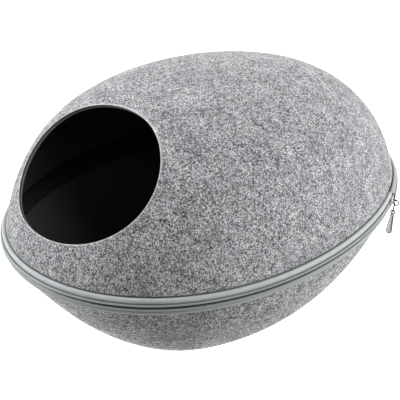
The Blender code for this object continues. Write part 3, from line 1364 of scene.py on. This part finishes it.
    def band(self) -> Strip:
        """Builds the plain band, which spans both sides at the back."""
        turns, along, mitre = self._stations(self.end, FULL_TURN - self.end, -self.mitre)
        faces = []
        for depth, table in ((FELT.inner + GAP, self.band_outer), (FELT.inner + GAP + TAPE, self.band_inner)):
            top = self._face(Side.UPPER, turns, mitre, depth, table)
            low = self._face(Side.LOWER, turns, mitre, depth, table)
            faces.append(np.concatenate((top, low[-2::-1])))
        # Painted shade in the crease beside the felt, and a painted dark line along the band's outer edge.
        shade = self._shade(self.band_outer, range(9, 12), (0.95, 0.50), 2.9)
        return self._strip("back_band", *faces, np.concatenate((shade, shade[-2::-1])), along)

    def _ribbed(
        self, name: str, table: Table, end: float, relief: float, slant: float, stretch: float
    ) -> bpy.types.Object:
        """Makes a row with ribs across it.

        Args:
            name: The piece's name.
            table: Its closed section.
            end: The turn where it stops.
            relief: How far the ribs stand out.
            slant: How far along a rib moves for each metre up it.
            stretch: How much taller it is drawn where the slit is closed.

        Returns:
            The piece.
        """
        controls = np.array((*table, table[0])) * MM
        section = smooth_line(controls, 2)[:-1]
        outward = unit(section - section.mean(axis=0))
        # 0 on the sides that face the slit, which get painted shade.
        unshaded = np.clip((0.3 * MM - section[:, 0]) / (0.6 * MM), 0, 1)
        tallest = section[np.argmax(np.abs(section[:, 1])), 1]
        turns, along = self.waist.stations(-end, end, self.pitch / 6)
        loft = Loft()
        for turn, distance in zip(turns, along):
            wave = np.sin(math.pi * (distance + slant * section[:, 1]) / self.pitch)
            crest = np.abs(wave) ** 0.7
            ribbed = section - outward * (relief * (1 - crest))[:, None]
            reach = self.closed[int(turn > self.widest)]
            shut = min(1.0, ((turn - self.widest) / reach) ** 2)
            ribbed[:, 1] = tallest + (ribbed[:, 1] - tallest) * (1 + stretch * shut)
            x, y = self.waist.plan(turn, self._pushed(turn, ribbed[:, 0]))
            points = np.stack((x, y, self.waist.height + ribbed[:, 1]), axis=1)
            # Painted shade: darker in the grooves between the ribs and on the sides that face the slit.
            loft.add(points, crest=(0.55 + 0.45 * crest) * unshaded)
        return loft.make(name, Ends.CAPPED)

    def row_on(self, side: Side) -> bpy.types.Object:
        """Builds the ribbed row on one side."""
        table = tuple((inset, side.value * height) for inset, height in self.row)
        name = f"{side.name.lower()}_row"
        return self._ribbed(name, table, self.row_end, self.rib, 0.15 * side.value, self.stretch)

    def teeth(self) -> bpy.types.Object:
        """Builds the teeth behind the slit."""
        return self._ribbed("slit_teeth", self.chain, self.chain_end, self.tooth, 0.0, 0.0)


# --------------------------------------------------------------------- the pull


@dataclass
class Pull:
    """The zip's slider and what hangs on it.

    Its own axes run X along the waist toward the front, Y out from it and Z up.

    Attributes:
        waist: The outline that the slider sits on.
        turn: Where it sits.
        length: The slider's length along the waist.
        face_plate: How far out the outer plate's two faces lie.
        face_half: Half the outer plate's height.
        back_plate: How far out the inner plate's two faces lie.
        back_half: Half the inner plate's height.
        web: The width and height of the post between the plates.
        crown: The crown's length, how far out its top lies, and its two half-thicknesses.
        ring_out: How far out the ring's middle lies.
        ring_drop: How far below the crown it hangs.
        ring_radius: The ring's radius.
        ring_wire: Its wire's radius.
        hold: How far round the ring the link hangs, from its bottom.
        lean: How far the link and the tab lean in.
        link_half: Half the link's width.
        link_wire: Its wire's radius.
        eyelet_drop: How far below its hold the eyelet's middle lies.
        eyelet_radius: The eyelet's radius.
        eyelet_wire: Its wire's radius.
        tab: The tab's length, its half-widths at its top and its round end, and its thickness.
        dish: How deep its faces are hollowed inside their rims.
        rim: How wide those rims are, and how far in from them the hollow is at its deepest.
        corner: The radius of a plate's corners.
        soft: The radius of a plate's edges.
        flange: The side flanges' thickness, and how far in and out they reach.
        small: The radius of the corners and of the edges of the post and the flanges.
    """

    waist: Waist
    turn: float = 124.2 * DEG
    length: float = 14.0 * MM
    face_plate: tuple[float, float] = (0.8 * MM, 1.5 * MM)
    face_half: float = 4.5 * MM
    back_plate: tuple[float, float] = (-3.6 * MM, -2.8 * MM)
    back_half: float = 3.8 * MM
    web: tuple[float, float] = (5.0 * MM, 0.6 * MM)
    crown: tuple[float, float, float, float] = (9.4 * MM, 5.9 * MM, 0.6 * MM, 0.9 * MM)
    ring_out: float = 5.5 * MM
    ring_drop: float = 2.0 * MM
    ring_radius: float = 3.1 * MM
    ring_wire: float = 0.75 * MM
    hold: float = 30 * DEG
    lean: float = 6.5 * DEG
    link_half: float = 1.5 * MM
    link_wire: float = 0.75 * MM
    eyelet_drop: float = 9.7 * MM
    eyelet_radius: float = 2.2 * MM
    eyelet_wire: float = 0.85 * MM
    tab: tuple[float, float, float, float] = (26.4 * MM, 2.3 * MM, 3.8 * MM, 1.2 * MM)
    dish: float = 0.25 * MM
    rim: tuple[float, float] = (0.3 * MM, 0.4 * MM)
    corner: float = 2.4 * MM
    soft: float = 0.25 * MM
    flange: tuple[float, float, float] = (0.5 * MM, -0.3 * MM, 0.9 * MM)
    small: tuple[float, float] = (0.1 * MM, 0.05 * MM)

    def place(self) -> Matrix:
        """Returns the slider's place."""
        x, y = self.waist.plan(self.turn, 0.0)
        in_x, in_y = self.waist.plan(self.turn, 1 * MM)
        turned = Matrix.Rotation(math.atan2(in_x - x, y - in_y), 4, "Z")
        return Matrix.Translation((x, y, self.waist.height)) @ turned

    def _ring_place(self) -> Matrix:
        """Returns the place of the ring's middle."""
        return self.place() @ Matrix.Translation((0, self.ring_out, -self.ring_drop))

    def _hang(self) -> Matrix:
        """Returns the place on the ring that the link hangs from."""
        hold = (0, -self.ring_radius * math.sin(self.hold), -self.ring_radius * math.cos(self.hold))
        return self._ring_place() @ Matrix.Translation(hold) @ Matrix.Rotation(-self.lean, 4, "X")

    @staticmethod
    def _wire(
        place: Matrix, path: np.ndarray, across: Point, halves: tuple[float, float], closed: bool
    ) -> Loft:
        """Draws a wire along a flat path.

        Args:
            place: Where the path's own axes lie.
            path: Its points.
            across: The direction square to the plane that the path lies in.
            halves: The wire's half-thicknesses in that plane and square to it.
            closed: Whether the path's ends meet.

        Returns:
            The wire's mesh.
        """
        steps = np.roll(path, -1, axis=0) - np.roll(path, 1, axis=0)
        if not closed:
            steps[0], steps[-1] = path[1] - path[0], path[-1] - path[-2]
        sides = unit(np.cross(unit(steps), across))
        angles = np.arange(16) * FULL_TURN / 16
        wave = np.stack((np.cos(angles), np.sin(angles)))
        flow, lift = np.sign(wave) * np.abs(wave) ** 0.85 * np.array(halves)[:, None]
        turned = np.array(place.to_3x3())
        loft = Loft()
        for point, side in zip(path, sides):
            ring = point + flow[:, None] * side + lift[:, None] * np.array(across)
            loft.add(ring @ turned.T + np.array(place.translation))
        return loft

    def _loop(
        self, name: str, place: Matrix, half: float, wire: float, straight: float = 0.0, end_on: bool = True
    ) -> bpy.types.Object:
        """Builds a closed loop of wire.

        Args:
            name: The piece's name.
            place: The place of its middle.
            half: Half its width.
            wire: Its wire's radius.
            straight: How long its straight sides are.
            end_on: Whether it stands square to the waist, in the YZ plane, or along it, in the XZ plane.

        Returns:
            The piece.
        """
        angles = (np.arange(48) + 0.5) * FULL_TURN / 48
        flat = half * np.cos(angles)
        height = half * np.sin(angles) + np.copysign(straight / 2, np.sin(angles))
        still = np.zeros_like(flat)
        path = np.stack((still, flat, height) if end_on else (flat, still, height), axis=1)
        across = (1, 0, 0) if end_on else (0, 1, 0)
        return self._wire(place, path, across, (wire, wire), closed=True).make(name, Ends.JOINED)

    @staticmethod
    def _plate(bm: bmesh.types.BMesh, low: Point, high: Point, corner: float, soft: float) -> None:
        """Adds a plate whose corners are rounded as seen from outside, and whose edges are softened.

        Args:
            bm: The mesh that it is added to.
            low: Its lowest corner, before they are rounded.
            high: Its highest corner.
            corner: The radius of its corners.
            soft: The radius of its edges.
        """
        box = bmesh.ops.create_cube(bm, size=1)["verts"]
        sizes = np.subtract(high, low)
        bmesh.ops.scale(bm, vec=sizes, verts=box)
        bmesh.ops.translate(bm, vec=(np.array(low) + sizes / 2), verts=box)
        edges = {edge for vert in box for edge in vert.link_edges}
        through = [edge for edge in edges if abs(edge.verts[0].co.y - edge.verts[1].co.y) > sizes[1] / 2]
        rounded = bmesh.ops.bevel(
            bm, geom=through, offset=corner, affect="EDGES", segments=6, profile=0.5, material=-1
        )
        faces = {face for vert in rounded["verts"] for face in vert.link_faces}
        rims = [edge for face in faces if len(face.edges) > 4 for edge in face.edges]
        bmesh.ops.bevel(bm, geom=rims, offset=soft, affect="EDGES", segments=3, profile=0.5, material=-1)

    def slider(self) -> bpy.types.Object:
        """Builds the slider: two plates, the post between them, and the crown that holds the ring."""
        bm = bmesh.new()
        half = self.length / 2
        for (inner, outer), tall in ((self.face_plate, self.face_half), (self.back_plate, self.back_half)):
            self._plate(bm, (-half, inner, -tall), (half, outer, tall), self.corner, self.soft)
        thick, inward, outward = self.flange
        for side in (-1, 1):
            low, high = sorted((side * self.face_half, side * (self.face_half - thick)))
            self._plate(bm, (-half + MM, inward, low), (half - MM, outward, high), *self.small)
        wide, tall = self.web
        post_low = (-wide / 2, self.back_plate[1], -tall / 2)
        self._plate(bm, post_low, (wide / 2, self.face_plate[0], tall / 2), *self.small)
        long, top, thin, broad = self.crown
        seat = sum(self.face_plate) / 2
        angles = np.linspace(0, math.pi, 25)
        shape = np.stack((np.cos(angles), np.sin(angles)))
        spread, rise = np.sign(shape) * np.abs(shape) ** 0.6
        path = np.stack((spread * (long / 2 - thin), seat + rise * (top - thin - seat), 0 * spread), axis=1)
        crown = self._wire(Matrix(), path, (0, 0, 1), (thin, broad), closed=False).make("crown", Ends.CAPPED)
        bm.from_mesh(crown.data)
        bpy.data.objects.remove(crown)
        bmesh.ops.transform(bm, matrix=self.place(), verts=bm.verts)
        return as_object("slider", bm)

    def ring(self) -> bpy.types.Object:
        """Builds the ring."""
        return self._loop("ring", self._ring_place(), self.ring_radius, self.ring_wire)

    def link(self) -> bpy.types.Object:
        """Builds the oval link between the ring and the tab."""
        top = self.ring_wire + GAP + self.link_wire
        end = self.eyelet_drop - self.eyelet_radius + self.eyelet_wire + GAP + self.link_wire
        straight = top + end - 2 * self.link_half
        place = self._hang() @ Matrix.Translation((0, 0, (top - end) / 2))
        return self._loop("link", place, self.link_half, self.link_wire, straight, end_on=False)

    def _eyelet_place(self) -> Matrix:
        """Returns the place of the eyelet's middle."""
        return self._hang() @ Matrix.Translation((0, 0, -self.eyelet_drop))

    def grip(self) -> bpy.types.Object:
        """Builds the tab that a hand pulls."""
        length, top_half, end_half, thick = self.tab
        bm = bmesh.new()
        bmesh.ops.create_circle(bm, cap_ends=True, segments=32, radius=end_half)
        for vert in bm.verts:
            # The circle's upper half becomes the tab's straight sides and top.
            across, up = vert.co.x, vert.co.y
            if up > 0:
                share = min(1.0, up / end_half * 1.3)
                up = share * (length - end_half)
                side = end_half + (top_half - end_half) * share
                across = math.copysign(side, across) if share < 1 else across / end_half * top_half * 1.5
            vert.co = (0, across, up - length - self.eyelet_radius + end_half)
        blade = bmesh.ops.extrude_face_region(bm, geom=bm.faces[:])["geom"]
        moved = [item for item in blade if isinstance(item, bmesh.types.BMVert)]
        bmesh.ops.translate(bm, vec=(thick, 0, 0), verts=moved)
        bmesh.ops.translate(bm, vec=(-thick / 2, 0, 0), verts=bm.verts)
        bmesh.ops.recalc_face_normals(bm, faces=bm.faces)
        rims = [edge for edge in bm.edges if edge.is_manifold and edge.calc_face_angle(0) > 1]
        bmesh.ops.bevel(bm, geom=rims, offset=0.3 * MM, affect="EDGES", segments=3, profile=0.5, material=-1)
        faces = [face for face in bm.faces if len(face.edges) > 4]
        for thickness, depth in zip(self.rim, (0.0, -self.dish)):
            bmesh.ops.inset_individual(bm, faces=faces, thickness=thickness, depth=depth)
        bmesh.ops.transform(bm, matrix=self._eyelet_place(), verts=bm.verts)
        return as_object("tab", bm)

    def eyelet(self) -> bpy.types.Object:
        """Builds the eyelet at the tab's top."""
        return self._loop("eyelet", self._eyelet_place(), self.eyelet_radius, self.eyelet_wire)


# -------------------------------------------------------------------- the studio


def direction(bearing: float, rise: float) -> Vector:
    """Returns the direction at a bearing from the front toward +X and a rise, both in degrees."""
    turn, up = bearing * DEG, rise * DEG
    return Vector((math.sin(turn) * math.cos(up), -math.cos(turn) * math.cos(up), math.sin(up)))


@dataclass(frozen=True)
class Softbox:
    """One soft square light, hung on a dome round what it lights.

    Attributes:
        name: Its name.
        bearing: Its direction in degrees, from the front toward +X.
        rise: How high it hangs, in degrees above level.
        power: Its power in watts.
        reach: How far away it hangs.
        size: Its side.
    """

    name: str
    bearing: float
    rise: float
    power: float
    reach: float = 4.0
    size: float = 2.2

    def hang(self, aim: Vector) -> None:
        """Hangs the light, turned toward the aim."""
        light = bpy.data.lights.new(self.name, "AREA")
        light.shape = "SQUARE"
        light.size = self.size
        light.energy = self.power
        toward = direction(self.bearing, self.rise)
        made = bpy.data.objects.new(self.name, light)
        made.location = aim + toward * self.reach
        made.rotation_euler = (-toward).to_track_quat("-Z", "Y").to_euler()
        bpy.context.scene.collection.objects.link(made)


@dataclass
class Studio:
    """The floor, the soft light and the camera.

    Attributes:
        azimuth: The camera's bearing in degrees, from the front toward +X.
        elevation: How far it looks down, in degrees.
        distance: How far it stands from what it looks at.
        aim: What it looks at.
        lens: Its focal length in millimetres, on a 36 mm sensor.
        haze: The strength of the even light that comes from all round.
        floor_size: The floor's side.
        boxes: The lights.
    """

    azimuth: float = 45.0
    elevation: float = 28.212
    distance: float = 1.3796
    aim: Point = (-0.0080, -0.0091, 0.1191)
    lens: float = 109.96
    haze: float = 0.16
    floor_size: float = 12.0
    boxes: tuple[Softbox, ...] = (
        Softbox("Right softbox", 135, 10, 165),
        Softbox("Back right softbox", 180, 10, 56),
        Softbox("Back softbox", 225, 10, 94),
        Softbox("Back left softbox", 270, 30, 73),
        Softbox("Left softbox", 315, 10, 116),
        Softbox("High left softbox", 315, 30, 96),
        Softbox("High right softbox", 90, 50, 94),
        Softbox("Front fill", 45, 30, 8),
        Softbox("Low back fill", 225, -55, 245),
        Softbox("Low fill", 0, -90, 34),
    )

    def build(self) -> None:
        """Builds the whole studio."""
        self._floor()
        self._camera()
        for box in self.boxes:
            box.hang(Vector((0, 0, self.aim[2])))
        scene = bpy.context.scene
        world = bpy.data.worlds.new("Studio")
        scene.world = world
        world.use_nodes = True
        background = world.node_tree.nodes["Background"]
        background.inputs["Color"].default_value = (1, 1, 1, 1)
        background.inputs["Strength"].default_value = self.haze
        scene.view_settings.view_transform = "Standard"

    def _floor(self) -> None:
        """Lays the floor, which throws no light back up and lets the light from below through."""
        bm = bmesh.new()
        bmesh.ops.create_grid(bm, x_segments=1, y_segments=1, size=self.floor_size / 2)
        floor = as_object("floor", bm)
        floor.data.materials.append(PaleFloor().material())
        floor.visible_diffuse = False
        floor.visible_shadow = False

    def _camera(self) -> None:
        """Stands the camera."""
        data = bpy.data.cameras.new("Camera")
        data.lens = self.lens
        data.sensor_width = 36
        back = direction(self.azimuth, self.elevation)
        camera = bpy.data.objects.new("Camera", data)
        camera.location = Vector(self.aim) + back * self.distance
        camera.rotation_euler = (-back).to_track_quat("-Z", "Y").to_euler()
        bpy.context.scene.collection.objects.link(camera)
        bpy.context.scene.camera = camera


# ------------------------------------------------------------------------- main


def main() -> None:
    """Builds the cave's pieces in order, and then the studio."""
    logging.basicConfig(level=logging.INFO, format="%(message)s")
    # The bowl's felt has coarser specks and stronger mottling as its grain, and its darker tone is painted
    # shade on the lower shell.
    coarse_felt_with_painted_shade = HeatheredFelt("Coarser felt with painted shade", contrast=1.50, level=0.562, speck=2.0 * MM)
    felts = {"dome": HeatheredFelt(), "bowl": coarse_felt_with_painted_shade}
    lining = DarkLining().material()

    middle = (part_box("zip_coil_upper")[0].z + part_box("zip_coil_lower")[1].z) / 2
    waist = Waist(middle)
    entry = Entry((-1.0 * MM, -175.4 * MM, middle + 95.4 * MM))
    dome = Dome(waist, COLUMNS, entry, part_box("upper_felt")[1].z)
    bowl = Bowl(waist, COLUMNS)
    for wall, half, name in ((UpperWall(dome), "upper", "dome"), (LowerWall(bowl), "lower", "bowl")):
        for layer, kind, material in ((FELT, "felt", felts[name].material()), (LINING, "lining", lining)):
            piece = wall.build(f"{name}_{kind}", layer)
            dress(piece, material, kind, f"{half}_{kind}")

    zipped = Zip({Side.UPPER: dome, Side.LOWER: bowl})
    coil = NylonCoil().material()
    tape = WovenTape().material()
    # The lower tape and the back band get a darker copy of the tape, as painted shade.
    shaded = WovenTape("Tape with painted shade", light=(0.31, 0.33, 0.334), dark=(0.245, 0.262, 0.266)).material()
    strips = {"hinge_band": (zipped.band(), shaded)}
    for side, cloth in ((Side.UPPER, tape), (Side.LOWER, shaded)):
        name = side.name.lower()
        strips[f"zip_tape_{name}"] = (zipped.tape(side), cloth)
        dress(zipped.row_on(side), coil, "coil", f"zip_coil_{name}")
    for node, (strip, cloth) in strips.items():
        dress(strip.piece, cloth, "tape", node)
        log.info("%s: cut %.4f by %.3f m", strip.piece.name, *strip.flat)
    # The teeth are drawn nearly black, as painted shade in the slit between the rows.
    dark = NylonCoil("Teeth painted as shade", (0.040, 0.050, 0.047), (0.015, 0.018, 0.017))
    dress(zipped.teeth(), dark.material(), "coil")

    nickel = SatinNickel().material()
    pull = Pull(waist)
    # The ring, the link and the eyelet get a darker copy of the nickel, as painted shade for the dark
    # surroundings it reflects.
    wire = SatinNickel("Nickel darkened as painted shade", (0.10, 0.098, 0.092), (0.035, 0.034, 0.032)).material()
    cast = SatinNickel("Cast nickel", (0.66, 0.64, 0.60), (0.16, 0.155, 0.15), metal=0.4).material()
    dress(pull.slider(), cast, "pull", "slider_body")
    dress(pull.ring(), wire, "pull", "pull_ring")
    dress(pull.link(), wire, "pull", "pull_link")
    dress(pull.grip(), nickel, "pull", "pull_tab")
    dress(pull.eyelet(), wire, "pull")

    Studio().build()


if __name__ == "__main__":
    main()
